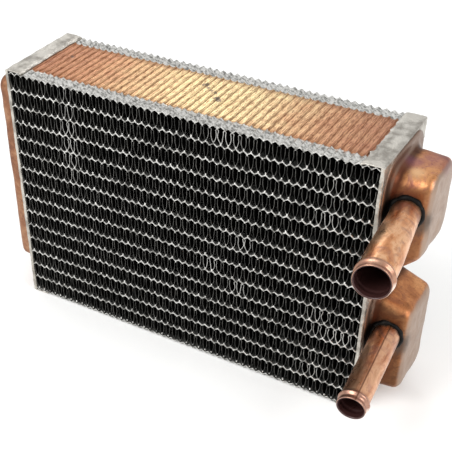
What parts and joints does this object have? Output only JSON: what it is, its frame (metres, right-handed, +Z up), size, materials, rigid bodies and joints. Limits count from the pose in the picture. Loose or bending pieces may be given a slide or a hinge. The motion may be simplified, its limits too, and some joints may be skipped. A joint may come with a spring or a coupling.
{
  "type": "heater core",
  "caption": "Heater core of a car: corrugated waterways and folded air fins between two header pans, with drawn copper tanks and two beaded hose tubes.",
  "frame": {"origin": "middle of the core's underside, level with the flat flanges of the two header pans", "axes": "+X along the waterways towards the two short tanks, -Y out of the front face that the hose tubes point from, +Z up"},
  "size_m": [0.2846, 0.1178, 0.1648],
  "materials": {
    "solder_coated_brass": "dip-soldered brass ribbon, dull silver grey",
    "fin_copper": "thin copper fin, darkened, solder on its edges",
    "strip_copper": "bare corrugated copper with a dull solder border",
    "soldered_header": "brass sheet coated with dull grey solder",
    "tank_copper": "drawn copper, heat-tinted and brushed",
    "tube_copper": "drawn copper tube, heat-tinted"
  },
  "bodies": {
    "root": {"waterway_01": "solder_coated_brass", "waterway_02": "solder_coated_brass", "waterway_03": "solder_coated_brass", "waterway_04": "solder_coated_brass", "waterway_05": "solder_coated_brass", "waterway_06": "solder_coated_brass", "waterway_07": "solder_coated_brass", "waterway_08": "solder_coated_brass", "waterway_09": "solder_coated_brass", "waterway_10": "solder_coated_brass", "waterway_11": "solder_coated_brass", "waterway_12": "solder_coated_brass", "waterway_13": "solder_coated_brass", "waterway_14": "solder_coated_brass", "air_fin_01": "fin_copper", "air_fin_02": "fin_copper", "air_fin_03": "fin_copper", "air_fin_04": "fin_copper", "air_fin_05": "fin_copper", "air_fin_06": "fin_copper", "air_fin_07": "fin_copper", "air_fin_08": "fin_copper", "air_fin_09": "fin_copper", "air_fin_10": "fin_copper", "air_fin_11": "fin_copper", "air_fin_12": "fin_copper", "air_fin_13": "fin_copper", "air_fin_14": "fin_copper", "air_fin_15": "fin_copper", "top_side_strip": "strip_copper", "bottom_side_strip": "strip_copper", "left_header": "soldered_header", "right_header": "soldered_header", "return_tank": "tank_copper", "upper_tank": "tank_copper", "lower_tank": "tank_copper", "upper_hose_tube": "tube_copper", "lower_hose_tube": "tube_copper"}
  },
  "joints": []
}
